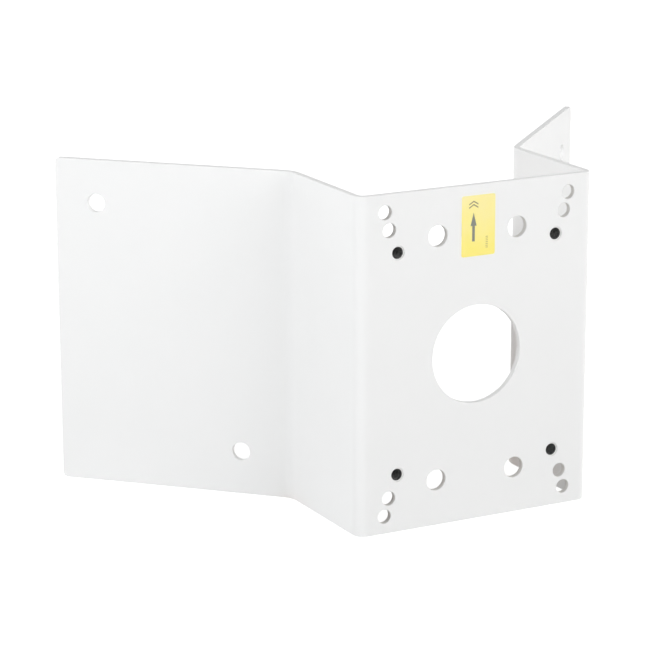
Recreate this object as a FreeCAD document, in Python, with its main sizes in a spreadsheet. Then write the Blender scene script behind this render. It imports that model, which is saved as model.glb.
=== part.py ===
import FreeCAD, Part
import math
import os

import Sketcher

# Camera mount for the outside corner of a building: one folded steel sheet,
# four weld nuts behind its front plate, and a label that shows which way is up.
# Origin at the centre of the bolt patterns, on the plate's front face.
# X runs across the plate, Y goes back towards the corner of the wall, Z is up.

# Driving sizes, in millimetres, and the wings' angle in degrees
SIZES = {
    "face_width": 156.0,
    "face_height": 200.0,
    "web_depth": 83.5,
    "wing_length": 148.0,
    "wing_angle": 45.0,
    "sheet_gauge": 4.0,
    "face_bend_inside_radius": 3.0,
    "wing_bend_inside_radius": 12.0,
    "wing_corner_radius": 3.0,
    "edge_bevel": 0.3,
    "cable_hole_diameter": 58.5,
    "arm_hole_diameter": 8.4,
    "outer_hole_side_inset": 17.5,
    "outer_hole_end_inset": 10.5,
    "inner_hole_side_inset": 20.25,
    "inner_hole_end_inset": 21.0,
    "large_hole_diameter": 12.5,
    "large_hole_side_inset": 51.75,
    "large_hole_end_inset": 27.5,
    "nut_hole_diameter": 8.2,
    "nut_hole_side_inset": 25.75,
    "nut_hole_end_inset": 34.5,
    "nut_across_flats": 13.0,
    "nut_length": 10.0,
    "nut_corner_drop": 0.6,
    "thread_core_diameter": 6.65,
    "thread_mouth_diameter": 8.0,
    "wall_hole_diameter": 11.0,
    "wall_hole_fold_inset": 32.0,
    "wall_hole_end_inset": 26.0,
    "wall_hole_edge_inset": 26.5,
    "label_width": 22.0,
    "label_height": 35.5,
    "label_below_top_edge": 6.2,
    "label_corner_radius": 1.2,
    "label_gauge": 0.3,
}

doc = FreeCAD.newDocument("corner_mount")

sheet = doc.addObject("Spreadsheet::Sheet", "Sizes")
for row, (word, size) in enumerate(SIZES.items(), start=1):
    sheet.set(f"A{row}", word)
    sheet.set(f"B{row}", str(size))
    sheet.setAlias(f"B{row}", word)
doc.recompute()


def origin_plane(body, role):
    """The origin plane of a body that has the given role."""
    return next(plane for plane in body.Origin.OriginFeatures if plane.Role == role)


def add_sketch(body, name, role):
    """A new sketch on one of the body's own origin planes."""
    sketch = body.newObject("Sketcher::SketchObject", name)
    sketch.AttachmentSupport = [(origin_plane(body, role), "")]
    sketch.MapMode = "FlatFace"
    return sketch


def bind(sketch, name, constraint, formula):
    """Adds a constraint to a sketch and ties its value to the sheet."""
    sketch.renameConstraint(sketch.addConstraint(constraint), name)
    sketch.setExpression(f"Constraints.{name}", formula)


def add_outline(sketch, corners):
    """A closed outline of straight lines through the corners, joined end to end."""
    count = len(corners)
    for index, corner in enumerate(corners):
        sketch.addGeometry(Part.LineSegment(corner, corners[(index + 1) % count]), False)
    for index in range(count):
        sketch.addConstraint(Sketcher.Constraint("Coincident", index, 2, (index + 1) % count, 1))


def add_circle(sketch, name, centre, diameter, formulas):
    """A circle; formulas tie its distances from the origin and its diameter to the sheet."""
    x, y = centre
    circle = Part.Circle(FreeCAD.Vector(x, y, 0), FreeCAD.Vector(0, 0, 1), diameter / 2)
    index = sketch.addGeometry(circle, False)
    for axis, place, formula in (("X", x, formulas[0]), ("Y", y, formulas[1])):
        ends = (-1, 1, index, 3) if place > 0 else (index, 3, -1, 1)
        if formula is None:
            axis_line = -2 if axis == "X" else -1
            sketch.addConstraint(Sketcher.Constraint("PointOnObject", index, 3, axis_line))
        else:
            constraint = Sketcher.Constraint("Distance" + axis, *ends, abs(place))
            bind(sketch, f"{name}_{axis.lower()}", constraint, formula)
    bind(sketch, f"{name}_diameter", Sketcher.Constraint("Diameter", index, diameter), formulas[2])


def nearest_edges(feature, points):
    """Names of the edges of a feature that pass closest to the points."""
    names = []
    for point in points:
        spot = Part.Vertex(point)
        gaps = [edge.distToShape(spot)[0] for edge in feature.Shape.Edges]
        names.append(f"Edge{gaps.index(min(gaps)) + 1}")
    return names


def round_edges(body, name, points, formula):
    """Rounds the edges of the body's last feature that pass through the points."""
    base = body.Tip
    fillet = body.newObject("PartDesign::Fillet", name)
    fillet.Base = (base, nearest_edges(base, points))
    fillet.setExpression("Radius", formula)
    doc.recompute()
    return fillet


def cut_through_sheet(body, name, sketch):
    """Cuts the sketch's circles through the thickness of the sheet."""
    pocket = body.newObject("PartDesign::Pocket", name)
    pocket.Profile = sketch
    pocket.setExpression("Length", "Sizes.sheet_gauge")
    doc.recompute()
    return pocket


# The folded sheet's plan: outer corners from the left wing's end to the right wing's end,
# then the inner corners back again
half_face = SIZES["face_width"] / 2
gauge = SIZES["sheet_gauge"]
wing_angle = math.radians(SIZES["wing_angle"])
wing_run = SIZES["wing_length"] * math.cos(wing_angle)
wing_rise = SIZES["wing_length"] * math.sin(wing_angle)
end_run = gauge * math.sin(wing_angle)
end_rise = gauge * math.cos(wing_angle)
fold_shift = gauge * math.tan(math.pi / 4 - wing_angle / 2)

right_outer = [
    FreeCAD.Vector(half_face, 0, 0),
    FreeCAD.Vector(half_face, SIZES["web_depth"], 0),
    FreeCAD.Vector(half_face + wing_run, SIZES["web_depth"] + wing_rise, 0),
]
right_inner = [
    right_outer[2] + FreeCAD.Vector(-end_run, end_rise, 0),
    FreeCAD.Vector(half_face - gauge, SIZES["web_depth"] + fold_shift, 0),
    FreeCAD.Vector(half_face - gauge, gauge, 0),
]


def mirrored(points):
    """The points mirrored to the left side, in reverse order."""
    return [FreeCAD.Vector(-point.x, point.y, 0) for point in reversed(points)]


plan = mirrored(right_outer) + right_outer + right_inner + mirrored(right_inner)

bracket = doc.addObject("PartDesign::Body", "Bracket")
bracket.Label = "folded_bracket"
profile = add_sketch(bracket, "BracketProfile", "XY_Plane")
add_outline(profile, plan)

# Lines of the outline, in the order of its corners
LEFT_WING, LEFT_WEB, FACE, RIGHT_WEB, RIGHT_WING, RIGHT_END = range(6)
RIGHT_WING_BACK, RIGHT_WEB_BACK, FACE_BACK, LEFT_WEB_BACK, LEFT_WING_BACK, LEFT_END = range(6, 12)

profile.addConstraint(Sketcher.Constraint("Horizontal", FACE_BACK))
for line in (RIGHT_WEB, LEFT_WEB_BACK, RIGHT_WEB_BACK):
    profile.addConstraint(Sketcher.Constraint("Vertical", line))
profile.addConstraint(Sketcher.Constraint("PointOnObject", FACE, 1, -1))
profile.addConstraint(Sketcher.Constraint("Symmetric", FACE, 1, FACE, 2, -2))
profile.addConstraint(Sketcher.Constraint("Symmetric", LEFT_WEB, 1, RIGHT_WEB, 2, -2))
profile.addConstraint(Sketcher.Constraint("Symmetric", LEFT_WING, 1, RIGHT_WING, 2, -2))
right_side = (RIGHT_WING, RIGHT_WING_BACK, RIGHT_END)
left_side = (LEFT_WING, LEFT_WING_BACK, LEFT_END)
for wing, back, end in (left_side, right_side):
    profile.addConstraint(Sketcher.Constraint("Parallel", wing, back))
    profile.addConstraint(Sketcher.Constraint("Perpendicular", wing, end))
bind(profile, "face_width", Sketcher.Constraint("DistanceX", FACE, 1, FACE, 2, 2 * half_face),
     "Sizes.face_width")
bind(profile, "web_depth", Sketcher.Constraint("DistanceY", RIGHT_WEB, 1, RIGHT_WEB, 2, SIZES["web_depth"]),
     "Sizes.web_depth")
bind(profile, "wing_length", Sketcher.Constraint("Distance", RIGHT_WING, SIZES["wing_length"]),
     "Sizes.wing_length")
bind(profile, "wing_angle", Sketcher.Constraint("Angle", RIGHT_WING, wing_angle), "Sizes.wing_angle * 1 deg")
bind(profile, "right_wing_gauge", Sketcher.Constraint("Distance", RIGHT_END, gauge), "Sizes.sheet_gauge")
bind(profile, "left_wing_gauge", Sketcher.Constraint("Distance", LEFT_END, gauge), "Sizes.sheet_gauge")
bind(profile, "face_gauge", Sketcher.Constraint("DistanceY", FACE, 2, FACE_BACK, 1, gauge),
     "Sizes.sheet_gauge")
bind(profile, "right_web_gauge", Sketcher.Constraint("DistanceX", FACE_BACK, 1, FACE, 2, gauge),
     "Sizes.sheet_gauge")
bind(profile, "left_web_gauge", Sketcher.Constraint("DistanceX", FACE, 1, FACE_BACK, 2, gauge),
     "Sizes.sheet_gauge")

folded = bracket.newObject("PartDesign::Pad", "FoldedSheet")
folded.Profile = profile
folded.SideType = "Symmetric"
folded.setExpression("Length", "Sizes.face_height")
doc.recompute()


def bend_sheet(name, outside, inside, radius):
    """Rounds a fold and its mirror image: the inside radius, and outside it the sheet's gauge more."""
    round_edges(bracket, f"{name}Outsides", [outside] + mirrored([outside]),
                f"Sizes.{radius} + Sizes.sheet_gauge")
    round_edges(bracket, f"{name}Insides", [inside] + mirrored([inside]), f"Sizes.{radius}")


# The folds at the front plate are tight, those at the wings wide
bend_sheet("FaceBend", right_outer[0], right_inner[2], "face_bend_inside_radius")
bend_sheet("WingBend", right_inner[1], right_outer[1], "wing_bend_inside_radius")

# The four corners of the blank, at the wings' ends
end_middle = (right_outer[2] + right_inner[0]) / 2
half_height = FreeCAD.Vector(0, 0, SIZES["face_height"] / 2)
ends = [end_middle] + mirrored([end_middle])
round_edges(bracket, "BlankCorners", [end + up for end in ends for up in (half_height, -half_height)],
            "Sizes.wing_corner_radius")

# Holes in the front plate: the cable hole and four rectangles of bolt holes, whose centres
# are set in from the plate's sides and ends
face_holes = add_sketch(bracket, "FaceHoles", "XZ_Plane")
add_circle(face_holes, "cable", (0, 0), SIZES["cable_hole_diameter"],
           (None, None, "Sizes.cable_hole_diameter"))
for pattern, hole in (("outer", "arm"), ("inner", "arm"), ("large", "large"), ("nut", "nut")):
    half_width = half_face - SIZES[f"{pattern}_hole_side_inset"]
    half_rise = SIZES["face_height"] / 2 - SIZES[f"{pattern}_hole_end_inset"]
    formulas = (f"Sizes.face_width / 2 - Sizes.{pattern}_hole_side_inset",
                f"Sizes.face_height / 2 - Sizes.{pattern}_hole_end_inset",
                f"Sizes.{hole}_hole_diameter")
    for number, (side, level) in enumerate(((-1, 1), (1, 1), (1, -1), (-1, -1)), start=1):
        centre = (side * half_width, level * half_rise)
        add_circle(face_holes, f"{pattern}_{number}", centre, SIZES[f"{hole}_hole_diameter"], formulas)
cut_through_sheet(bracket, "FaceHoleCuts", face_holes)


def add_wing_holes(side_name, side):
    """Two wall bolt holes in a wing, low near the fold and high at the outer end."""
    sketch = add_sketch(bracket, f"{side_name}WingHoles", "XZ_Plane")
    fold = FreeCAD.Vector(side * half_face, 0, -SIZES["web_depth"])
    turn = FreeCAD.Rotation(FreeCAD.Vector(0, 1, 0), side * SIZES["wing_angle"])
    sketch.AttachmentOffset = FreeCAD.Placement(fold, turn)
    sketch.setExpression("AttachmentOffset.Base.x", f"{side} * Sizes.face_width / 2")
    sketch.setExpression("AttachmentOffset.Base.z", "-Sizes.web_depth")
    sketch.setExpression("AttachmentOffset.Rotation.Angle", f"{side} * Sizes.wing_angle")
    half_rise = SIZES["face_height"] / 2 - SIZES["wall_hole_edge_inset"]
    rise_formula = "Sizes.face_height / 2 - Sizes.wall_hole_edge_inset"
    holes = (
        ("low", -1, SIZES["wall_hole_fold_inset"], "Sizes.wall_hole_fold_inset"),
        ("high", 1, SIZES["wing_length"] - SIZES["wall_hole_end_inset"],
         "Sizes.wing_length - Sizes.wall_hole_end_inset"),
    )
    for name, level, along, along_formula in holes:
        add_circle(sketch, name, (side * along, level * half_rise), SIZES["wall_hole_diameter"],
                   (along_formula, rise_formula, "Sizes.wall_hole_diameter"))
    cut_through_sheet(bracket, f"{side_name}WingHoleCuts", sketch)


add_wing_holes("Left", -1)
add_wing_holes("Right", 1)

# Every cut edge is slightly broken, as the coating leaves it
drilled_sheet = bracket.Tip
coated_edges = bracket.newObject("PartDesign::Chamfer", "CoatedEdges")
coated_edges.Base = (drilled_sheet, [])
coated_edges.UseAllEdges = True
coated_edges.setExpression("Size", "Sizes.edge_bevel")
doc.recompute()


def place(body, formulas):
    """Ties the place of a body to the sheet, one formula for each axis that it is moved along."""
    for axis, formula in formulas.items():
        body.setExpression(f"Placement.Base.{axis}", formula)


def add_weld_nut(name, label, side, level):
    """A long hexagon nut, welded to the back of the plate over its hole, with chamfered ends."""
    nut = doc.addObject("PartDesign::Body", name)
    nut.Label = label
    flats = SIZES["nut_across_flats"]
    reach = flats / math.sqrt(3)

    hexagon = add_sketch(nut, f"{name}Hexagon", "XZ_Plane")
    toward_corner = FreeCAD.Vector(reach, 0, 0)
    turns = [FreeCAD.Rotation(FreeCAD.Vector(0, 0, 1), 60 * step) for step in range(6)]
    add_outline(hexagon, [turn.multVec(toward_corner) for turn in turns])
    guide = hexagon.addGeometry(Part.Circle(FreeCAD.Vector(0, 0, 0), FreeCAD.Vector(0, 0, 1), reach), True)
    hexagon.addConstraint(Sketcher.Constraint("Coincident", guide, 3, -1, 1))
    for line in range(6):
        hexagon.addConstraint(Sketcher.Constraint("PointOnObject", line, 1, guide))
    for line in range(1, 6):
        hexagon.addConstraint(Sketcher.Constraint("Equal", 0, line))
    hexagon.addConstraint(Sketcher.Constraint("PointOnObject", 0, 1, -1))
    bind(hexagon, "across_corners", Sketcher.Constraint("Diameter", guide, 2 * reach),
         "Sizes.nut_across_flats / cos(30 deg)")

    block = nut.newObject("PartDesign::Pad", f"{name}Block")
    block.Profile = hexagon
    block.Reversed = True
    block.setExpression("Length", "Sizes.nut_length")
    doc.recompute()

    bore = add_sketch(nut, f"{name}BoreCircle", "XZ_Plane")
    add_circle(bore, "core", (0, 0), SIZES["thread_core_diameter"],
               (None, None, "Sizes.thread_core_diameter"))
    core = nut.newObject("PartDesign::Pocket", f"{name}Core")
    core.Profile = bore
    core.setExpression("Length", "Sizes.nut_length")
    doc.recompute()

    # The thread opens into a countersink at each end
    core_radius = SIZES["thread_core_diameter"] / 2
    rims = [FreeCAD.Vector(core_radius, depth, 0) for depth in (0, SIZES["nut_length"])]
    mouths = nut.newObject("PartDesign::Chamfer", f"{name}Mouths")
    mouths.Base = (core, nearest_edges(core, rims))
    mouths.setExpression("Size", "(Sizes.thread_mouth_diameter - Sizes.thread_core_diameter) / 2")
    doc.recompute()

    # A cone trims the hexagon's corners at the free end, from the circle that touches its flats
    length = SIZES["nut_length"]
    drop = SIZES["nut_corner_drop"]
    trim = add_sketch(nut, f"{name}CornerTrim", "XY_Plane")
    add_outline(trim, [FreeCAD.Vector(flats / 2, length, 0), FreeCAD.Vector(reach, length, 0),
                       FreeCAD.Vector(reach, length - drop, 0)])
    trim.addConstraint(Sketcher.Constraint("Horizontal", 0))
    trim.addConstraint(Sketcher.Constraint("Vertical", 1))
    bind(trim, "inner_radius", Sketcher.Constraint("DistanceX", -1, 1, 0, 1, flats / 2),
         "Sizes.nut_across_flats / 2")
    bind(trim, "outer_radius", Sketcher.Constraint("DistanceX", -1, 1, 0, 2, reach),
         "Sizes.nut_across_flats / 2 / cos(30 deg)")
    bind(trim, "height", Sketcher.Constraint("DistanceY", -1, 1, 0, 1, length), "Sizes.nut_length")
    bind(trim, "drop", Sketcher.Constraint("DistanceY", 1, 2, 1, 1, drop), "Sizes.nut_corner_drop")
    cone = nut.newObject("PartDesign::Groove", f"{name}Corners")
    cone.Profile = trim
    cone.ReferenceAxis = (trim, ["V_Axis"])
    doc.recompute()

    place(nut, {
        "x": f"{side} * (Sizes.face_width / 2 - Sizes.nut_hole_side_inset)",
        "y": "Sizes.sheet_gauge",
        "z": f"{level} * (Sizes.face_height / 2 - Sizes.nut_hole_end_inset)",
    })
    return nut


def add_label():
    """The printed label near the top of the plate, a thin sheet with rounded corners."""
    label = doc.addObject("PartDesign::Body", "UpLabel")
    label.Label = "orientation_label"
    half_wide = SIZES["label_width"] / 2
    half_tall = SIZES["label_height"] / 2
    outline = add_sketch(label, "LabelOutline", "XZ_Plane")
    corners = [(-half_wide, -half_tall), (half_wide, -half_tall),
               (half_wide, half_tall), (-half_wide, half_tall)]
    add_outline(outline, [FreeCAD.Vector(x, y, 0) for x, y in corners])
    for line in (0, 2):
        outline.addConstraint(Sketcher.Constraint("Horizontal", line))
    for line in (1, 3):
        outline.addConstraint(Sketcher.Constraint("Vertical", line))
    outline.addConstraint(Sketcher.Constraint("Symmetric", 0, 1, 2, 1, -1, 1))
    bind(outline, "width", Sketcher.Constraint("DistanceX", 0, 1, 0, 2, SIZES["label_width"]),
         "Sizes.label_width")
    bind(outline, "height", Sketcher.Constraint("DistanceY", 1, 1, 1, 2, SIZES["label_height"]),
         "Sizes.label_height")
    film = label.newObject("PartDesign::Pad", "LabelSheet")
    film.Profile = outline
    film.setExpression("Length", "Sizes.label_gauge")
    doc.recompute()
    middle = -SIZES["label_gauge"] / 2
    round_edges(label, "LabelCorners", [FreeCAD.Vector(x, middle, z) for x, z in corners],
                "Sizes.label_corner_radius")
    place(label, {"z": "Sizes.face_height / 2 - Sizes.label_below_top_edge - Sizes.label_height / 2"})
    return label


pieces = [bracket]
for level_name, level in (("upper", 1), ("lower", -1)):
    for side_name, side in (("left", -1), ("right", 1)):
        nut_name = f"WeldNut{level_name.title()}{side_name.title()}"
        pieces.append(add_weld_nut(nut_name, f"weld_nut_{level_name}_{side_name}", side, level))
pieces.append(add_label())
doc.recompute()

for item in doc.Objects:
    if {"Invalid", "Error"} & set(item.State):
        raise RuntimeError(f"{item.Name} could not be built: {item.State}")
for piece in pieces:
    if piece.Shape.isNull() or not piece.Shape.isValid():
        raise RuntimeError(f"{piece.Label} has no valid shape")

os.makedirs("parts", exist_ok=True)
for piece in pieces:
    piece.Shape.exportStep(os.path.join("parts", f"{piece.Label}.step"))
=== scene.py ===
"""Dresses the camera corner mount: a white folded bracket, its weld nuts and its label, on a pale floor."""

import logging
import math
from collections.abc import Iterable, Mapping, Sequence
from dataclasses import dataclass
from enum import Enum
from typing import Any

import bmesh
import bpy
from mathutils import Matrix, Vector

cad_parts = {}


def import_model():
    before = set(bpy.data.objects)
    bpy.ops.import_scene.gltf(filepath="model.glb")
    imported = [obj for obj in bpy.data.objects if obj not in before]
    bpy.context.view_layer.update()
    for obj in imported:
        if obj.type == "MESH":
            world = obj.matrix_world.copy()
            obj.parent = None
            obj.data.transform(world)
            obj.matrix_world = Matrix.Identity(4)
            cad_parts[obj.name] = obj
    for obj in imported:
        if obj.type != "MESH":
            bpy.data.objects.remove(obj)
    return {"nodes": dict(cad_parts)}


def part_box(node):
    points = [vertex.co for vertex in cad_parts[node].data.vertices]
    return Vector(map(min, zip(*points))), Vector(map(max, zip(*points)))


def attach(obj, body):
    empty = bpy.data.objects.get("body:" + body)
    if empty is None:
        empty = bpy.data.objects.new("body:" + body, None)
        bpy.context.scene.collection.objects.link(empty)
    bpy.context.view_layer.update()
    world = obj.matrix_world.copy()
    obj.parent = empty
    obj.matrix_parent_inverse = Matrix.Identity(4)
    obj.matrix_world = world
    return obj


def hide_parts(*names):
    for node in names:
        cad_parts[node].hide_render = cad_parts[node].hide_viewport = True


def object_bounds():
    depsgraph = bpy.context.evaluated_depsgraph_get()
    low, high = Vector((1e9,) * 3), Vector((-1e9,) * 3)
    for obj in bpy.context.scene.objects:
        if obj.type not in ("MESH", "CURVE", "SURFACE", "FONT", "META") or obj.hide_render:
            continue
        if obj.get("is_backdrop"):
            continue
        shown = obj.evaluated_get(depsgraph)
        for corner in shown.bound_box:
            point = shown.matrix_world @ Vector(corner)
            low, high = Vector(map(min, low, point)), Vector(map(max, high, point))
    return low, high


LOG = logging.getLogger("corner_mount")

MM = 0.001
WHITE = (1.0, 1.0, 1.0, 1.0)
# The turn from one flat of a hexagon to the next
FLAT_TURN = math.radians(60)
# The ends between which nearly all of a noise's values lie
NOISE_LOW = 0.3
NOISE_HIGH = 0.7
Colour = tuple[float, float, float]
Outline = list[tuple[float, float]]


class Side(Enum):
    """The two sides of the front plate, as seen from the front."""

    LEFT = "left"
    RIGHT = "right"


class Level(Enum):
    """The two ends of the front plate."""

    UPPER = "upper"
    LOWER = "lower"


class Row(Enum):
    """The rings of a weld nut's outside, from its mouth in the plate's hole to its mouth at the free end."""

    COLLAR_MOUTH = 0
    COLLAR_RIM = 1
    COLLAR_FOOT = 2
    WELD_TOE = 3
    WELD_BELLY = 4
    WELD_TOP = 5
    FLAT_TOP = 6
    END_FACE = 7
    FREE_MOUTH = 8


class NodeCanvas:
    """Adds nodes to one tree and joins their sockets."""

    def __init__(self, tree: bpy.types.NodeTree) -> None:
        """Keeps the tree that the nodes go into."""
        self.tree = tree

    @staticmethod
    def pick(sockets: Sequence[bpy.types.NodeSocket], key: str | int) -> bpy.types.NodeSocket:
        """Finds a socket.

        Args:
            sockets: A node's inputs or outputs.
            key: The socket's place, identifier or name.

        Returns:
            The socket.
        """
        if isinstance(key, int):
            return sockets[key]
        for candidate in sockets:
            if candidate.identifier == key:
                return candidate
        return sockets[key]

    def feed(self, node: bpy.types.Node, key: str | int, value: Any) -> None:
        """Links a socket or a node's first output into an input, or writes a plain value there.

        Args:
            node: The node that takes the value.
            key: The input's place, identifier or name.
            value: A socket, a node or a plain value.
        """
        target = self.pick(node.inputs, key)
        if isinstance(value, bpy.types.Node):
            value = value.outputs[0]
        if isinstance(value, bpy.types.NodeSocket):
            self.tree.links.new(value, target)
        else:
            target.default_value = value

    def add(self, kind: str, inputs: Mapping[str | int, Any] | None = None, **options: Any) -> bpy.types.Node:
        """Adds one node.

        Args:
            kind: The node's type name.
            inputs: Values, sockets or nodes for its inputs.
            **options: The node's own settings.

        Returns:
            The new node.
        """
        node = self.tree.nodes.new(kind)
        for name, value in options.items():
            setattr(node, name, value)
        for key, value in (inputs or {}).items():
            self.feed(node, key, value)
        return node

    def math(self, operation: str, *values: Any) -> bpy.types.NodeSocket:
        """Adds a Math node.

        Args:
            operation: The sum that it works out.
            *values: Its one to three operands.

        Returns:
            The result's socket.
        """
        node = self.add("ShaderNodeMath", dict(enumerate(values)), operation=operation)
        return node.outputs[0]

    def span(self, value: Any, low: float, high: float, new_low: Any, new_high: Any) -> bpy.types.NodeSocket:
        """Adds a Map Range node that holds its result between the new ends.

        Args:
            value: What is mapped.
            low: The value that becomes new_low.
            high: The value that becomes new_high.
            new_low: The result at low.
            new_high: The result at high.

        Returns:
            The result's socket.
        """
        inputs = {"Value": value, "From Min": low, "From Max": high, "To Min": new_low, "To Max": new_high}
        return self.add("ShaderNodeMapRange", inputs, clamp=True).outputs[0]

    def noise(self, place: Any, feature: float, detail: float = 2.0,
              roughness: float = 0.5) -> bpy.types.NodeSocket:
        """Adds a Noise Texture.

        Args:
            place: The coordinates, in metres.
            feature: The size of its blotches, in metres.
            detail: How many finer layers it has.
            roughness: How strong the finer layers are.

        Returns:
            The socket with its value, from 0 to 1.
        """
        inputs = {"Vector": place, "Scale": 1.0 / feature, "Detail": detail, "Roughness": roughness}
        return self.add("ShaderNodeTexNoise", inputs).outputs[0]

    def spread(self, noise: Any, new_low: Any, new_high: Any, low: float = NOISE_LOW) -> bpy.types.NodeSocket:
        """Stretches the range in which nearly all of a noise's values lie.

        Args:
            noise: The noise's value.
            new_low: The result at the low end.
            new_high: The result at the high end.
            low: The value where the range starts.

        Returns:
            The result's socket.
        """
        return self.span(noise, low, NOISE_HIGH, new_low, new_high)

    def bump(self, height: Any, distance: float, under: bpy.types.Node | None = None) -> bpy.types.Node:
        """Adds a Bump node at full strength.

        Args:
            height: The relief, from 0 to 1.
            distance: How high its crests are, in metres.
            under: A coarser bump that it lies on.

        Returns:
            The node.
        """
        node = self.add("ShaderNodeBump", {"Height": height, "Distance": distance, "Strength": 1.0})
        if under is not None:
            self.feed(node, "Normal", under)
        return node

    def blend(self, factor: Any, first: Any, second: Any) -> bpy.types.NodeSocket:
        """Adds a Mix node for two colours.

        Args:
            factor: How much of the second colour there is.
            first: The colour at 0, or its socket.
            second: The colour at 1, or its socket.

        Returns:
            The socket with the mixed colour.
        """
        node = self.add("ShaderNodeMix", {"Factor_Float": factor}, data_type="RGBA")
        for key, colour in (("A_Color", first), ("B_Color", second)):
            self.feed(node, key, (*colour, 1.0) if isinstance(colour, tuple) else colour)
        return self.pick(node.outputs, "Result_Color")


def new_material(name: str) -> tuple[bpy.types.Material, NodeCanvas, bpy.types.Node, bpy.types.NodeSocket]:
    """Starts a material with a Principled shader.

    Args:
        name: The material's name.

    Returns:
        The material, its canvas, its Principled node and the socket of its Object coordinates.
    """
    material = bpy.data.materials.new(name)
    material.use_nodes = True
    material.node_tree.nodes.clear()
    canvas = NodeCanvas(material.node_tree)
    shader = canvas.add("ShaderNodeBsdfPrincipled")
    canvas.add("ShaderNodeOutputMaterial", {"Surface": shader})
    place = canvas.pick(canvas.add("ShaderNodeTexCoord").outputs, "Object")
    return material, canvas, shader, place


@dataclass(frozen=True)
class HoleWallShade:
    """Painted shade on the walls of the plate's bolt holes, between their bevels: a darker colour where
    little light reaches.
    """

    # The painted shade's colour.
    colour: Colour = (0.715, 0.700, 0.680)
    front: float = 0.3 * MM
    back: float = 3.7 * MM
    inner_height: float = 45 * MM
    outer_height: float = 95 * MM
    half_width: float = 66 * MM

    def share(self, canvas: NodeCanvas, place: bpy.types.NodeSocket) -> bpy.types.NodeSocket:
        """Picks the walls out by their place in the plate's thickness.

        Args:
            canvas: The material's canvas.
            place: Its Object coordinates.

        Returns:
            A socket with 1 on the holes' walls and 0 elsewhere.
        """
        across, depth, rise = canvas.add("ShaderNodeSeparateXYZ", {0: place}).outputs
        share = canvas.math("LESS_THAN", canvas.math("ABSOLUTE", across), self.half_width)
        above = canvas.math("ABSOLUTE", rise)
        limits = ((depth, self.front, self.back), (above, self.inner_height, self.outer_height))
        for value, low, high in limits:
            share = canvas.math("MULTIPLY", share, canvas.math("GREATER_THAN", value, low))
            share = canvas.math("MULTIPLY", share, canvas.math("LESS_THAN", value, high))
        return share


@dataclass(frozen=True)
class PowderCoat:
    """Baked white powder coat: even, satin, with the faint orange peel that the powder leaves as it flows."""

    name: str
    light: Colour
    shade: Colour
    patch: float = 32 * MM
    gloss_patch: float = 9 * MM
    gloss: float = 0.30
    smooth_roughness: float = 0.47
    dull_roughness: float = 0.54
    peel_width: float = 1.7 * MM
    peel_height: float = 0.008 * MM
    grain_width: float = 0.35 * MM
    grain_height: float = 0.0015 * MM
    # Painted shade for the bolt holes' walls, or none.
    thin: HoleWallShade | None = None

    def make(self) -> bpy.types.Material:
        """Builds the material."""
        material, canvas, shader, place = new_material(self.name)
        shader.inputs["Specular IOR Level"].default_value = self.gloss
        cloud = canvas.noise(place, self.patch, detail=3.0)
        colour = canvas.blend(canvas.spread(cloud, 0.0, 1.0), self.light, self.shade)
        # Painted shade: the bolt holes' walls take a darker colour.
        if self.thin:
            colour = canvas.blend(self.thin.share(canvas, place), colour, self.thin.colour)
        canvas.feed(shader, "Base Color", colour)
        gloss = canvas.noise(place, self.gloss_patch, detail=4.0, roughness=0.6)
        canvas.feed(shader, "Roughness", canvas.spread(gloss, self.smooth_roughness, self.dull_roughness))
        peel = canvas.bump(canvas.noise(place, self.peel_width, detail=1.0, roughness=0.4), self.peel_height)
        grain = canvas.noise(place, self.grain_width, detail=1.0)
        canvas.feed(shader, "Normal", canvas.bump(grain, self.grain_height, under=peel))
        return material


@dataclass(frozen=True)
class BareThread:
    """Uncoated steel of a nut's thread: near black, its crests rubbed a little brighter."""

    name: str = "bare_thread"
    dark: Colour = (0.035, 0.036, 0.036)
    rubbed: Colour = (0.10, 0.10, 0.098)
    rubbed_start: float = 0.35
    metallic: float = 0.75
    patch: float = 1.6 * MM
    scratch: float = 0.25 * MM
    smooth_roughness: float = 0.34
    dull_roughness: float = 0.60
    scratch_height: float = 0.004 * MM

    def make(self) -> bpy.types.Material:
        """Builds the material."""
        material, canvas, shader, place = new_material(self.name)
        shader.inputs["Metallic"].default_value = self.metallic
        stain = canvas.noise(place, self.patch, detail=4.0, roughness=0.6)
        wear = canvas.spread(stain, 0.0, 1.0, low=self.rubbed_start)
        canvas.feed(shader, "Base Color", canvas.blend(wear, self.dark, self.rubbed))
        canvas.feed(shader, "Roughness", canvas.spread(stain, self.dull_roughness, self.smooth_roughness))
        scratches = canvas.noise(place, self.scratch, detail=2.0)
        canvas.feed(shader, "Normal", canvas.bump(scratches, self.scratch_height))
        return material


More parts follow.
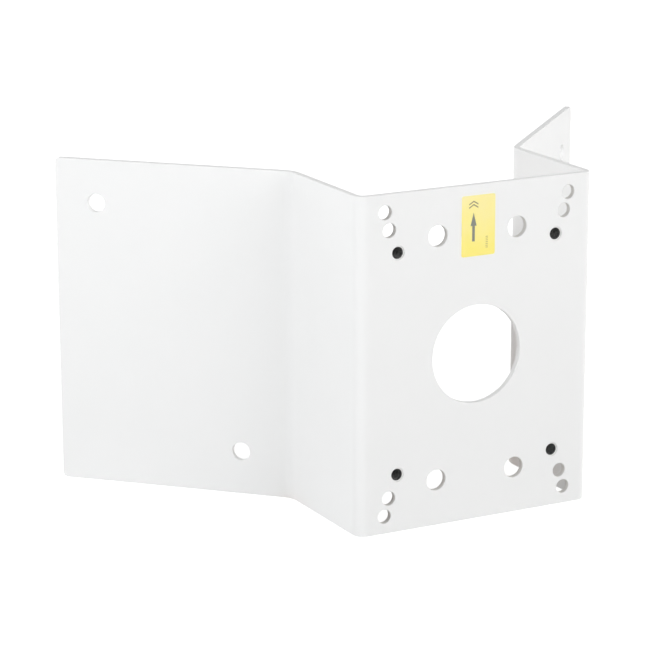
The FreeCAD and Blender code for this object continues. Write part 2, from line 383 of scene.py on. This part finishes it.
@dataclass(frozen=True)
class LabelFilm:
    """Pale yellow printed film, with a painted sheen that makes it paler towards its top edge, and a fine
    matte grain.
    """

    name: str = "label_film"
    # pale is the painted sheen's colour at the top edge; full is the film's own yellow.
    pale: Colour = (0.985, 0.878, 0.41)
    full: Colour = (0.985, 0.858, 0.215)
    # The painted sheen grows from the lower height to the upper one.
    sheen_full_height: float = 97 * MM
    sheen_start_height: float = 60 * MM
    patch: float = 11 * MM
    patch_share: float = 0.18
    grain_width: float = 0.30 * MM
    grain_height: float = 0.003 * MM
    smooth_roughness: float = 0.42
    dull_roughness: float = 0.55

    def make(self) -> bpy.types.Material:
        """Builds the material."""
        material, canvas, shader, place = new_material(self.name)
        height = canvas.add("ShaderNodeSeparateXYZ", {0: place}).outputs[2]
        # Painted sheen: 1 below the sheen's start, 0 at the top edge, where the colour is palest.
        unsheened = canvas.span(height, self.sheen_start_height, self.sheen_full_height, 1.0, 0.0)
        cloud = canvas.noise(place, self.patch, detail=3.0)
        # Random tone patches on top of the painted sheen.
        share = canvas.math("ADD", unsheened, canvas.spread(cloud, -self.patch_share, self.patch_share))
        canvas.feed(shader, "Base Color", canvas.blend(share, self.pale, self.full))
        grain = canvas.noise(place, self.grain_width, detail=2.0)
        canvas.feed(shader, "Roughness", canvas.spread(grain, self.smooth_roughness, self.dull_roughness))
        canvas.feed(shader, "Normal", canvas.bump(grain, self.grain_height))
        return material


@dataclass(frozen=True)
class PrintInk:
    """Screen ink on the label, slightly uneven where it lies on the film's grain."""

    name: str
    dark: Colour
    light: Colour
    light_start: float = 0.35
    speck: float = 0.5 * MM
    smooth_roughness: float = 0.45
    dull_roughness: float = 0.60
    ink_height: float = 0.002 * MM

    def make(self) -> bpy.types.Material:
        """Builds the material."""
        material, canvas, shader, place = new_material(self.name)
        specks = canvas.noise(place, self.speck, detail=3.0, roughness=0.6)
        thin = canvas.spread(specks, 0.0, 1.0, low=self.light_start)
        canvas.feed(shader, "Base Color", canvas.blend(thin, self.dark, self.light))
        canvas.feed(shader, "Roughness", canvas.spread(specks, self.smooth_roughness, self.dull_roughness))
        canvas.feed(shader, "Normal", canvas.bump(specks, self.ink_height))
        return material


class GeometryRecipe:
    """A Geometry Nodes tree with named inputs, run once to give a plain mesh."""

    def __init__(self, name: str) -> None:
        """Starts the tree with its group input and its one output."""
        self.tree = bpy.data.node_groups.new(name, "GeometryNodeTree")
        self.tree.interface.new_socket(name="Mesh", in_out="OUTPUT", socket_type="NodeSocketGeometry")
        self.canvas = NodeCanvas(self.tree)
        self.given = self.canvas.add("NodeGroupInput")
        self.values: dict[str, Any] = {}

    def size(self, name: str, value: float) -> bpy.types.NodeSocket:
        """Adds a named number to the tree's inputs.

        Args:
            name: The input's name.
            value: What the modifier gives it.

        Returns:
            The socket that hands the number to the tree's nodes.
        """
        whole = isinstance(value, int)
        kind = "NodeSocketInt" if whole else "NodeSocketFloat"
        socket = self.tree.interface.new_socket(name=name, in_out="INPUT", socket_type=kind)
        self.values[socket.identifier] = value
        return self.canvas.pick(self.given.outputs, socket.identifier)

    def bake(self, name: str, result: bpy.types.Node) -> bpy.types.Object:
        """Ends the tree, runs it on an empty mesh and keeps the outcome as a plain piece.

        Args:
            name: The new piece's name.
            result: The tree's last node.

        Returns:
            The piece, at the origin, with a plain mesh.
        """
        self.canvas.add("NodeGroupOutput", {0: result})
        host = bpy.data.objects.new(f"{name}_host", bpy.data.meshes.new(f"{name}_host"))
        bpy.context.scene.collection.objects.link(host)
        modifier = host.modifiers.new("recipe", "NODES")
        modifier.node_group = self.tree
        for identifier, value in self.values.items():
            modifier[identifier] = value
        graph = bpy.context.evaluated_depsgraph_get()
        mesh = bpy.data.meshes.new_from_object(host.evaluated_get(graph))
        host.modifiers.remove(modifier)
        bpy.data.objects.remove(host)
        mesh.name = name
        return add_piece(name, mesh)


def add_piece(name: str, mesh: bpy.types.Mesh) -> bpy.types.Object:
    """Links a mesh to the scene as a piece of the object.

    Args:
        name: The piece's name.
        mesh: Its mesh, already in place.

    Returns:
        The new object, at the origin.
    """
    piece = bpy.data.objects.new(name, mesh)
    bpy.context.scene.collection.objects.link(piece)
    LOG.info("%s: %d faces", name, len(mesh.polygons))
    return piece


def dress(piece: bpy.types.Object, material: bpy.types.Material) -> None:
    """Gives a piece one material all over."""
    if not piece.material_slots:
        piece.data.materials.append(material)
    for slot in piece.material_slots:
        slot.link = "OBJECT"
        slot.material = material


@dataclass
class FoldedBracket:
    """The folded sheet: front plate, two webs and two wings in one blank, coated all over."""

    node: str = "folded_bracket"
    # The sheet's coat has painted shade on its bolt holes' walls.
    coat: PowderCoat = PowderCoat("bracket_coat", light=(0.899, 0.901, 0.898), shade=(0.891, 0.894, 0.891),
                                  thin=HoleWallShade())

    def build(self, nodes: Mapping[str, bpy.types.Object]) -> bpy.types.Object:
        """Coats the sheet.

        Args:
            nodes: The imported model's nodes by name.

        Returns:
            The bracket's object.
        """
        sheet = nodes[self.node]
        dress(sheet, self.coat.make())
        LOG.info("%s: coated", self.node)
        return sheet


@dataclass(frozen=True)
class NutSizes:
    """The inputs of the nuts' recipe that the bore and the outside share."""

    length: bpy.types.NodeSocket
    flats: bpy.types.NodeSocket
    collar: bpy.types.NodeSocket
    front_mouth: bpy.types.NodeSocket


@dataclass
class WeldNuts:
    """Four long hexagon nuts behind the plate, each with a real thread and a weld fillet round its foot.

    A collar centres each nut in its hole and ends just below the plate's front face.
    """

    name: str = "weld_nuts"
    thread_pitch: float = 1.25 * MM
    core_radius: float = 3.325 * MM
    root_radius: float = 4.0 * MM
    mouth_radius: float = 4.0 * MM
    collar_radius: float = 4.08 * MM
    collar_mouth: float = 3.5 * MM
    collar_recess: float = 0.8 * MM
    corner_drop: float = 0.6 * MM
    corner_rounding: float = 0.12 * MM
    weld_width: float = 0.7 * MM
    weld_belly: float = 0.3
    end_face_share: float = 0.995
    rows_per_pitch: int = 12
    columns: int = 72
    crest_end: float = 0.25
    root_start: float = 0.875
    sharp_angle: float = math.radians(32)
    merge_distance: float = 0.002 * MM
    coat: PowderCoat = PowderCoat("nut_coat", light=(0.872, 0.874, 0.868), shade=(0.850, 0.852, 0.848),
                                  patch=6 * MM, dull_roughness=0.58, peel_height=0.014 * MM)
    thread: BareThread = BareThread()

    @staticmethod
    def node_name(level: Level, side: Side) -> str:
        """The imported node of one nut."""
        return f"weld_nut_{level.value}_{side.value}"

    def build(self) -> bpy.types.Object:
        """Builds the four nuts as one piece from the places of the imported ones.

        Returns:
            The nuts' object.
        """
        low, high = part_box(self.node_name(Level.UPPER, Side.RIGHT))
        length, collar = high.y - low.y, low.y - self.collar_recess
        recipe = GeometryRecipe(self.name)
        canvas = recipe.canvas
        sizes = NutSizes(
            length=recipe.size("Nut length", length),
            flats=recipe.size("Across flats", high.z - low.z),
            collar=recipe.size("Collar length", collar),
            front_mouth=recipe.size("Collar mouth radius", self.collar_mouth))
        turns = (length + collar) / self.thread_pitch + 1
        bore = self.thread_surface(recipe, sizes, math.ceil(turns * self.rows_per_pitch))
        both = canvas.add("GeometryNodeJoinGeometry", {0: bore})
        canvas.feed(both, 0, self.outside(recipe, sizes))
        closed = canvas.add("GeometryNodeMergeByDistance", {
            "Geometry": both, "Distance": self.merge_distance})
        angle = canvas.add("GeometryNodeInputMeshEdgeAngle")
        angles = {"A": angle, "B": self.sharp_angle}
        sharp = canvas.add("FunctionNodeCompare", angles, operation="GREATER_THAN")
        shading = {"Geometry": closed, "Selection": sharp, "Shade Smooth": False}
        creased = canvas.add("GeometryNodeSetShadeSmooth", shading, domain="EDGE")
        turned = canvas.add("FunctionNodeEulerToRotation", {0: (-math.pi / 2, 0.0, 0.0)})
        nuts = canvas.add("GeometryNodeInstanceOnPoints", {
            "Points": self.seats(recipe, (low + high) / 2, low.y), "Instance": creased, "Rotation": turned})
        real = canvas.add("GeometryNodeRealizeInstances", {"Geometry": nuts})
        coated = canvas.add("GeometryNodeSetMaterial", {"Geometry": real, "Material": self.coat.make()})
        marked = canvas.add("GeometryNodeInputNamedAttribute", {"Name": "threaded"}, data_type="BOOLEAN")
        bared = canvas.add("GeometryNodeSetMaterial", {"Geometry": coated, "Selection": marked,
                                                       "Material": self.thread.make()})
        piece = recipe.bake(self.name, bared)
        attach(piece, "root")
        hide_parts(*(self.node_name(level, side) for level in Level for side in Side))
        return piece

    @staticmethod
    def seats(recipe: GeometryRecipe, centre: Vector, depth: float) -> bpy.types.Node:
        """Sets a point where each nut lies on the plate.

        Args:
            recipe: The tree that it goes into.
            centre: The middle of the upper right nut.
            depth: How far the plate's back lies behind its front face.

        Returns:
            The node that gives the four points.
        """
        canvas = recipe.canvas
        corners = canvas.add("GeometryNodeMeshGrid", {
            "Size X": recipe.size("Pattern width", 2 * centre.x),
            "Size Y": recipe.size("Pattern height", 2 * centre.z), "Vertices X": 2, "Vertices Y": 2})
        back = canvas.add("ShaderNodeCombineXYZ", {"Y": recipe.size("Seat depth", depth)})
        return canvas.add("GeometryNodeTransform", {
            "Geometry": corners, "Rotation": (math.pi / 2, 0.0, 0.0), "Translation": back})

    def grid(self, recipe: GeometryRecipe, rows: int) -> tuple[bpy.types.Node, Any, Any]:
        """Lays a flat grid that wraps round a nut's axis.

        Args:
            recipe: The tree that it goes into.
            rows: How many rows of faces it has.

        Returns:
            The grid's node, how far round a point lies and how far along, both from 0 to 1.
        """
        canvas = recipe.canvas
        flat = canvas.add("GeometryNodeMeshGrid", {
            "Size X": 1.0, "Size Y": 1.0, "Vertices X": self.columns + 1, "Vertices Y": rows + 1})
        parts = canvas.add("ShaderNodeSeparateXYZ", {0: canvas.add("GeometryNodeInputPosition")})
        around = canvas.math("ADD", parts.outputs[0], 0.5)
        along = canvas.math("ADD", parts.outputs[1], 0.5)
        return flat, around, along

    @staticmethod
    def wrap(canvas: NodeCanvas, flat: bpy.types.Node, angle: Any, radius: Any,
             height: Any) -> bpy.types.Node:
        """Moves a grid's points to their places round the axis.

        Args:
            canvas: The tree's canvas.
            flat: The grid's node.
            angle: The angle of each point.
            radius: Its distance from the axis.
            height: Its height along the axis.

        Returns:
            The node that places the points.
        """
        place = canvas.add("ShaderNodeCombineXYZ", {
            "X": canvas.math("MULTIPLY", canvas.math("COSINE", angle), radius),
            "Y": canvas.math("MULTIPLY", canvas.math("SINE", angle), radius),
            "Z": height})
        return canvas.add("GeometryNodeSetPosition", {"Geometry": flat, "Position": place})

    def thread_surface(self, recipe: GeometryRecipe, sizes: NutSizes, rows: int) -> bpy.types.Node:
        """Makes the bore's wall as one right-hand thread with a countersink at each end.

        Args:
            recipe: The tree that it goes into.
            sizes: The sizes that the bore and the outside share.
            rows: How many rows of faces follow the thread, one turn more than the bore is long.

        Returns:
            The node that gives the wall, its faces turned to the axis.
        """
        canvas = recipe.canvas
        flat, around, along = self.grid(recipe, rows)
        pitch = recipe.size("Thread pitch", self.thread_pitch)
        core = recipe.size("Core radius", self.core_radius)
        root = recipe.size("Root radius", self.root_radius)
        mouth = recipe.size("Mouth radius", self.mouth_radius)
        whole = canvas.math("ADD", sizes.length, sizes.collar)
        run = canvas.math("MULTIPLY", along, canvas.math("MULTIPLY", pitch, rows / self.rows_per_pitch))
        before = canvas.math("SUBTRACT", run, pitch)
        climb = canvas.math("ADD", before, canvas.math("MULTIPLY", around, pitch))
        height = canvas.math("MINIMUM", canvas.math("MAXIMUM", climb, 0.0), whole)
        phase = canvas.math("FRACT", canvas.math("DIVIDE", run, pitch))
        off_crest = canvas.math("ABSOLUTE", canvas.math("SUBTRACT", phase, 0.5))
        from_crest = canvas.math("MULTIPLY", off_crest, 2.0)
        profile = canvas.span(from_crest, self.crest_end, self.root_start, core, root)
        groove = canvas.math("MINIMUM", profile, canvas.math("ADD", sizes.front_mouth, height))
        front_sink = canvas.math("SUBTRACT", sizes.front_mouth, height)
        back_sink = canvas.math("SUBTRACT", mouth, canvas.math("SUBTRACT", whole, height))
        radius = canvas.math("MAXIMUM", groove, canvas.math("MAXIMUM", front_sink, back_sink))
        level = canvas.math("SUBTRACT", height, sizes.collar)
        wall = self.wrap(canvas, flat, canvas.math("MULTIPLY", around, math.tau), radius, level)
        inward = canvas.add("GeometryNodeFlipFaces", {"Mesh": wall})
        mark = {"Geometry": inward, "Name": "threaded", "Value": True}
        return canvas.add("GeometryNodeStoreNamedAttribute", mark, data_type="BOOLEAN", domain="FACE")

    def outside(self, recipe: GeometryRecipe, sizes: NutSizes) -> bpy.types.Node:
        """Makes the collar, the hexagon with its weld fillet and trimmed corners, and the two end rings.

        Args:
            recipe: The tree that it goes into.
            sizes: The sizes that the bore and the outside share.

        Returns:
            The node that gives the outside.
        """
        canvas = recipe.canvas
        flat, around, along = self.grid(recipe, len(Row) - 1)
        angle = canvas.math("MULTIPLY", around, math.tau)
        mouth = recipe.size("Outer mouth radius", self.mouth_radius)
        rim = recipe.size("Collar radius", self.collar_radius)
        front = canvas.math("MULTIPLY", sizes.collar, -1.0)
        weld = recipe.size("Weld width", self.weld_width)
        belly = canvas.math("MULTIPLY", weld, self.weld_belly)
        drop = recipe.size("Corner drop", self.corner_drop)
        half = canvas.math("DIVIDE", sizes.flats, 2.0)
        reach = canvas.math("DIVIDE", half, math.cos(FLAT_TURN / 2))
        in_flat = canvas.math("FLOORED_MODULO", angle, FLAT_TURN)
        from_middle = canvas.math("SUBTRACT", in_flat, FLAT_TURN / 2)
        sharp_side = canvas.math("DIVIDE", half, canvas.math("COSINE", from_middle))
        side = canvas.math("MINIMUM", sharp_side, canvas.math("SUBTRACT", reach, self.corner_rounding))
        past_flat = canvas.math("SUBTRACT", side, half)
        beyond = canvas.math("DIVIDE", past_flat, canvas.math("SUBTRACT", reach, half))
        top = canvas.math("SUBTRACT", sizes.length, canvas.math("MULTIPLY", beyond, drop))
        rings = {
            Row.COLLAR_MOUTH: (sizes.front_mouth, front),
            Row.COLLAR_RIM: (rim, front),
            Row.COLLAR_FOOT: (rim, 0.0),
            Row.WELD_TOE: (canvas.math("ADD", side, weld), 0.0),
            Row.WELD_BELLY: (canvas.math("ADD", side, belly), belly),
            Row.WELD_TOP: (side, weld),
            Row.FLAT_TOP: (side, top),
            Row.END_FACE: (canvas.math("MULTIPLY", half, self.end_face_share), sizes.length),
            Row.FREE_MOUTH: (mouth, sizes.length),
        }
        index = canvas.math("ROUND", canvas.math("MULTIPLY", along, float(len(Row) - 1)))
        radius = self.by_row(canvas, index, {row: ring[0] for row, ring in rings.items()})
        height = self.by_row(canvas, index, {row: ring[1] for row, ring in rings.items()})
        return self.wrap(canvas, flat, angle, radius, height)

    @staticmethod
    def by_row(canvas: NodeCanvas, index: Any, values: Mapping[Row, Any]) -> bpy.types.Node:
        """Adds a switch that gives each row of points its own value.

        Args:
            canvas: The tree's canvas.
            index: The number of a point's row.
            values: The value of each row.

        Returns:
            The switch.
        """
        switch = canvas.add("GeometryNodeIndexSwitch", data_type="FLOAT")
        while len(switch.index_switch_items) < len(Row):
            switch.index_switch_items.new()
        canvas.feed(switch, "Index", index)
        for row, value in values.items():
            canvas.feed(switch, row.value + 1, value)
        return switch


@dataclass
class OrientationLabel:
    """The label film with its printed arrow, a plain pair of chevrons over it and a column of faint ticks."""

    node: str = "orientation_label"
    ink_depth: float = 0.020 * MM
    sunk: float = 0.010 * MM
    arrow_axis: float = 7.7 * MM
    arrow_tip: float = 9.95 * MM
    arrow_neck: float = 17.7 * MM
    arrow_foot: float = 26.8 * MM
    head_width: float = 3.95 * MM
    shaft_width: float = 1.76 * MM
    chevron_top: float = 3.0 * MM
    chevron_width: float = 6.0 * MM
    chevron_rise: float = 1.8 * MM
    chevron_stroke: float = 0.72 * MM
    chevron_step: float = 1.9 * MM
    tick_axis: float = 16.55 * MM
    tick_top: float = 24.7 * MM
    tick_step: float = 1.05 * MM
    tick_length: float = 1.5 * MM
    tick_stroke: float = 0.42 * MM
    tick_count: int = 7
    film: LabelFilm = LabelFilm()
    ink: PrintInk = PrintInk("arrow_ink", dark=(0.205, 0.215, 0.185), light=(0.235, 0.245, 0.210))
    mark_ink: PrintInk = PrintInk("mark_ink", dark=(0.31, 0.28, 0.165), light=(0.36, 0.32, 0.19))
    faint_ink: PrintInk = PrintInk("faint_ink", dark=(0.50, 0.43, 0.16), light=(0.56, 0.48, 0.19))

    def build(self, nodes: Mapping[str, bpy.types.Object]) -> list[bpy.types.Object]:
        """Dresses the film and lays the print on it.

        Args:
            nodes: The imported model's nodes by name.

        Returns:
            The film and the pieces of print.
        """
        film = nodes[self.node]
        dress(film, self.film.make())
        LOG.info("%s: printed film", self.node)
        low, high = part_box(self.node)
        corner = Vector((low.x, low.y, high.z))
        arrow = self.raised("label_arrow", [self.arrow_outline()], corner, self.ink.make())
        chevrons = [self.chevron_outline(self.chevron_top + step * self.chevron_step) for step in range(2)]
        marks = self.raised("label_chevrons", chevrons, corner, self.mark_ink.make())
        ticks = self.ticks(corner, self.faint_ink.make())
        for piece in (arrow, marks, ticks):
            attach(piece, "root")
        return [film, arrow, marks, ticks]

    def arrow_outline(self) -> Outline:
        """The arrow's corners from the label's upper left corner: right, then down, in metres."""
        head, shaft = self.head_width / 2, self.shaft_width / 2
        right_side = [(0.0, self.arrow_tip), (head, self.arrow_neck), (shaft, self.arrow_neck),
                      (shaft, self.arrow_foot)]
        left_side = [(-across, down) for across, down in reversed(right_side[1:])]
        return [(self.arrow_axis + across, down) for across, down in right_side + left_side]

    def chevron_outline(self, top: float) -> Outline:
        """The corners of one chevron that points up.

        Args:
            top: How far its peak lies below the label's top edge.

        Returns:
            Its corners from the label's upper left corner.
        """
        half = self.chevron_width / 2
        slope = math.hypot(half, self.chevron_rise) / half * self.chevron_stroke
        upper = [(-half, self.chevron_rise), (0.0, 0.0), (half, self.chevron_rise)]
        lower = [(across, down + slope) for across, down in reversed(upper)]
        return [(self.arrow_axis + across, top + down) for across, down in upper + lower]

    def raised(self, name: str, outlines: Iterable[Outline], corner: Vector,
               ink: bpy.types.Material) -> bpy.types.Object:
        """Makes closed flat shapes of ink that stand just off the film.

        Args:
            name: The piece's name.
            outlines: The corners of each shape.
            corner: The label's upper left corner on its front face.
            ink: The material.

        Returns:
            The piece.
        """
        mesh = bpy.data.meshes.new(name)
        shape = bmesh.new()
        for outline in outlines:
            back, front = (
                [shape.verts.new(corner + Vector((across, depth, -down))) for across, down in outline]
                for depth in (self.sunk, -self.ink_depth))
            shape.faces.new(front)
            shape.faces.new(list(reversed(back)))
            for here in range(len(outline)):
                there = (here + 1) % len(outline)
                shape.faces.new((front[there], front[here], back[here], back[there]))
        bmesh.ops.recalc_face_normals(shape, faces=shape.faces)
        bmesh.ops.triangulate(shape, faces=shape.faces)
        shape.to_mesh(mesh)
        shape.free()
        mesh.materials.append(ink)
        return add_piece(name, mesh)

    def ticks(self, corner: Vector, ink: bpy.types.Material) -> bpy.types.Object:
        """Lays a column of plain ticks near the label's right edge.

        Args:
            corner: The label's upper left corner on its front face.
            ink: The material.

        Returns:
            The piece.
        """
        recipe = GeometryRecipe("label_ticks")
        canvas = recipe.canvas
        down = canvas.math("MULTIPLY", recipe.size("Tick step", self.tick_step), -1.0)
        line = canvas.add("GeometryNodeMeshLine", {
            "Count": recipe.size("Tick count", self.tick_count),
            "Start Location": (corner.x + self.tick_axis, corner.y + (self.sunk - self.ink_depth) / 2,
                               corner.z - self.tick_top),
            "Offset": canvas.add("ShaderNodeCombineXYZ", {"Z": down})}, mode="OFFSET")
        bar = canvas.add("GeometryNodeMeshCube", {"Size": canvas.add("ShaderNodeCombineXYZ", {
            "X": recipe.size("Tick length", self.tick_length),
            "Y": recipe.size("Ink depth", self.ink_depth + self.sunk),
            "Z": recipe.size("Tick stroke", self.tick_stroke)})})
        rows = canvas.add("GeometryNodeInstanceOnPoints", {"Points": line, "Instance": bar})
        real = canvas.add("GeometryNodeRealizeInstances", {"Geometry": rows})
        inked = canvas.add("GeometryNodeSetMaterial", {"Geometry": real, "Material": ink})
        return recipe.bake("label_ticks", inked)


def toward(azimuth: float, elevation: float) -> Vector:
    """Works out a direction from the bracket.

    Args:
        azimuth: Degrees to the right of the front, as seen from the front.
        elevation: Degrees above level.

    Returns:
        The direction, of length 1.
    """
    turn, rise = math.radians(azimuth), math.radians(elevation)
    return Vector((math.sin(turn) * math.cos(rise), -math.cos(turn) * math.cos(rise), math.sin(rise)))


@dataclass(frozen=True)
class Lamp:
    """One square softbox that looks at the bracket."""

    name: str
    azimuth: float
    elevation: float
    distance: float
    width: float
    power: float
    colour: Colour = (1.0, 1.0, 1.0)

    def light(self, centre: Vector) -> None:
        """Puts the softbox in place.

        Args:
            centre: The point that it looks at.
        """
        data = bpy.data.lights.new(self.name, "AREA")
        data.shape = "SQUARE"
        data.size = self.width
        data.energy = self.power
        data.color = self.colour
        lamp = bpy.data.objects.new(self.name, data)
        bpy.context.scene.collection.objects.link(lamp)
        back = toward(self.azimuth, self.elevation)
        lamp.location = centre + back * self.distance
        lamp.rotation_mode = "QUATERNION"
        lamp.rotation_quaternion = (-back).to_track_quat("-Z", "Y")


@dataclass
class Studio:
    """Plain pale floor, even light from all round and soft lamps."""

    floor_size: float = 30.0
    floor_glow: float = 0.66
    far_bounce: Colour = (0.80, 0.80, 0.80)
    # Painted shade in the floor's reflected light: darker near the bracket, and darker and warmer under it.
    near_shade_bounce: Colour = (0.68, 0.68, 0.68)
    shaded_bounce: Colour = (0.66, 0.44, 0.32)
    shaded_centre: tuple[float, float] = (0.0, 0.092)
    shaded_radius: float = 0.062
    near_radius: float = 0.090
    far_radius: float = 0.45
    sky_light: float = 0.84
    sky_rise: tuple[float, float] = (0.0, 0.2)
    sky_fall: tuple[float, float] = (0.4, 1.0)
    gap_azimuth: float = -38
    gap_elevation: float = 10
    gap_edges: tuple[float, float] = (0.3, 0.8)
    gap_light: float = 0.35
    lamps: tuple[Lamp, ...] = (
        Lamp("left_softbox", azimuth=-84, elevation=22, distance=2.3, width=0.8, power=21.8,
             colour=(0.985, 0.993, 1.0)),
        Lamp("rear_softbox", azimuth=-152, elevation=15, distance=2.4, width=1.6, power=10.5),
        Lamp("front_softbox", azimuth=7, elevation=22, distance=2.4, width=1.6, power=27.0),
        Lamp("right_softbox", azimuth=78, elevation=20, distance=2.4, width=1.6, power=11.0,
             colour=(1.0, 0.99, 0.975)),
    )

    @staticmethod
    def seen_directly(canvas: NodeCanvas) -> bpy.types.NodeSocket:
        """1 for what the camera sees, also in a mirror or through glass, and 0 for light on the bracket."""
        path = canvas.add("ShaderNodeLightPath")
        names = ("Is Camera Ray", "Is Glossy Ray", "Is Transmission Ray")
        camera, mirror, glass = (canvas.pick(path.outputs, name) for name in names)
        return canvas.math("MAXIMUM", camera, canvas.math("MAXIMUM", mirror, glass))

    def floor_material(self) -> bpy.types.Material:
        """Builds the floor's finish: white to the eye with a soft shadow, duller as a reflector, with painted
        shade in its reflected light round and under the bracket.
        """
        material = bpy.data.materials.new("pale_floor")
        material.use_nodes = True
        material.node_tree.nodes.clear()
        canvas = NodeCanvas(material.node_tree)
        white = canvas.add("ShaderNodeBsdfDiffuse", {"Color": WHITE})
        glow = canvas.add("ShaderNodeEmission", {"Color": WHITE, "Strength": self.floor_glow})
        shown = canvas.add("ShaderNodeAddShader", {0: white, 1: glow})
        place = canvas.pick(canvas.add("ShaderNodeTexCoord").outputs, "Object")
        middle = (*self.shaded_centre, 0.0)
        aside = canvas.add("ShaderNodeVectorMath", {0: place, 1: middle}, operation="SUBTRACT")
        level = canvas.add("ShaderNodeVectorMath", {0: aside, 1: (1.0, 1.0, 0.0)}, operation="MULTIPLY")
        length = canvas.add("ShaderNodeVectorMath", {0: level}, operation="LENGTH")
        apart = canvas.pick(length.outputs, "Value")
        # Painted shade: the reflected light is dimmer near the bracket and dimmer and warmer under it.
        beyond = canvas.span(apart, self.near_radius, self.far_radius, 0.0, 1.0)
        outside = canvas.span(apart, self.shaded_radius, self.near_radius, 0.0, 1.0)
        open_floor = canvas.blend(beyond, self.near_shade_bounce, self.far_bounce)
        bounce = canvas.add("ShaderNodeBsdfDiffuse", {
            "Color": canvas.blend(outside, self.shaded_bounce, open_floor)})
        mixed = canvas.add("ShaderNodeMixShader", {0: self.seen_directly(canvas), 1: bounce, 2: shown})
        canvas.add("ShaderNodeOutputMaterial", {"Surface": mixed})
        return material

    def sky(self, canvas: NodeCanvas) -> bpy.types.NodeSocket:
        """Shades the light from all round: a band above the level, with a gap left of the front.

        Args:
            canvas: The world's canvas.

        Returns:
            The socket with the light's strength in each direction.
        """
        ray = canvas.pick(canvas.add("ShaderNodeTexCoord").outputs, "Generated")
        height = canvas.add("ShaderNodeSeparateXYZ", {0: ray}).outputs[2]
        band = canvas.math("MULTIPLY", canvas.span(height, *self.sky_rise, 0.0, self.sky_light),
                           canvas.span(height, *self.sky_fall, 1.0, 0.0))
        gap = toward(self.gap_azimuth, self.gap_elevation)
        facing = canvas.add("ShaderNodeVectorMath", {0: ray, 1: tuple(gap)}, operation="DOT_PRODUCT")
        outside = canvas.span(canvas.pick(facing.outputs, "Value"), *self.gap_edges, 1.0, self.gap_light)
        return canvas.math("MULTIPLY", band, outside)

    def lay_floor(self, height: float) -> None:
        """Lays the floor.

        Args:
            height: How high it lies.
        """
        mesh = bpy.data.meshes.new("floor")
        half = self.floor_size / 2
        corners = [(-half, -half, height), (half, -half, height), (half, half, height), (-half, half, height)]
        mesh.from_pydata(corners, [], [(0, 1, 2, 3)])
        mesh.materials.append(self.floor_material())
        floor = bpy.data.objects.new("floor", mesh)
        bpy.context.scene.collection.objects.link(floor)
        floor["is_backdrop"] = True

    def light_air(self) -> None:
        """Makes the world: white where it is seen, and the sky's soft light elsewhere."""
        world = bpy.data.worlds.new("studio_air")
        bpy.context.scene.world = world
        world.use_nodes = True
        world.node_tree.nodes.clear()
        canvas = NodeCanvas(world.node_tree)
        strength = canvas.span(self.seen_directly(canvas), 0.0, 1.0, self.sky(canvas), 1.0)
        air = canvas.add("ShaderNodeBackground", {"Color": WHITE, "Strength": strength})
        canvas.add("ShaderNodeOutputWorld", {"Surface": air})

    def build(self, low: Vector, high: Vector) -> None:
        """Lays the floor under the bracket and lights it.

        Args:
            low: The bracket's lowest corner.
            high: Its highest corner.
        """
        self.lay_floor(low.z)
        self.light_air()
        for lamp in self.lamps:
            lamp.light((low + high) / 2)
            LOG.info("%s: lit", lamp.name)


@dataclass(frozen=True)
class PhotoCamera:
    """The picture's viewpoint: its angles, its lens, and where the frame's origin lies before it."""

    heading: float = math.radians(27.568)
    dip: float = math.radians(14.656)
    lean: float = math.radians(0.160)
    focal_pixels: float = 2729.3
    picture_pixels: int = 645
    sensor_mm: float = 36.0
    origin_right: float = 89.106 * MM
    origin_down: float = 18.091 * MM
    origin_ahead: float = 1576.6 * MM
    nearest: float = 0.05
    farthest: float = 60.0

    def build(self) -> bpy.types.Object:
        """Makes the camera and gives it to the scene.

        Returns:
            The camera's object.
        """
        level_right = Vector((math.cos(self.heading), -math.sin(self.heading), 0.0))
        level_ahead = Vector((math.sin(self.heading), math.cos(self.heading), 0.0))
        ahead = level_ahead * math.cos(self.dip) - Vector((0.0, 0.0, math.sin(self.dip)))
        level_down = ahead.cross(level_right)
        right = math.cos(self.lean) * level_right + math.sin(self.lean) * level_down
        down = math.cos(self.lean) * level_down - math.sin(self.lean) * level_right
        data = bpy.data.cameras.new("camera")
        data.sensor_width = self.sensor_mm
        data.lens = self.focal_pixels / self.picture_pixels * self.sensor_mm
        data.clip_start, data.clip_end = self.nearest, self.farthest
        data.dof.use_dof = False
        camera = bpy.data.objects.new("camera", data)
        bpy.context.scene.collection.objects.link(camera)
        turn = Matrix((right, -down, -ahead)).transposed().to_4x4()
        place = -(right * self.origin_right + down * self.origin_down + ahead * self.origin_ahead)
        camera.matrix_world = Matrix.Translation(place) @ turn
        bpy.context.scene.camera = camera
        LOG.info("camera: %.1f mm lens", data.lens)
        return camera


def main() -> None:
    """Builds the dressed bracket, its studio and its camera."""
    logging.basicConfig(level=logging.INFO, format="%(name)s: %(message)s")
    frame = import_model()
    bpy.context.view_layer.update()
    cad_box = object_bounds()
    bpy.context.scene.view_settings.view_transform = "Standard"
    PhotoCamera().build()
    FoldedBracket().build(frame["nodes"])
    WeldNuts().build()
    OrientationLabel().build(frame["nodes"])
    Studio().build(*cad_box)
    bpy.context.view_layer.update()


if __name__ == "__main__":
    main()
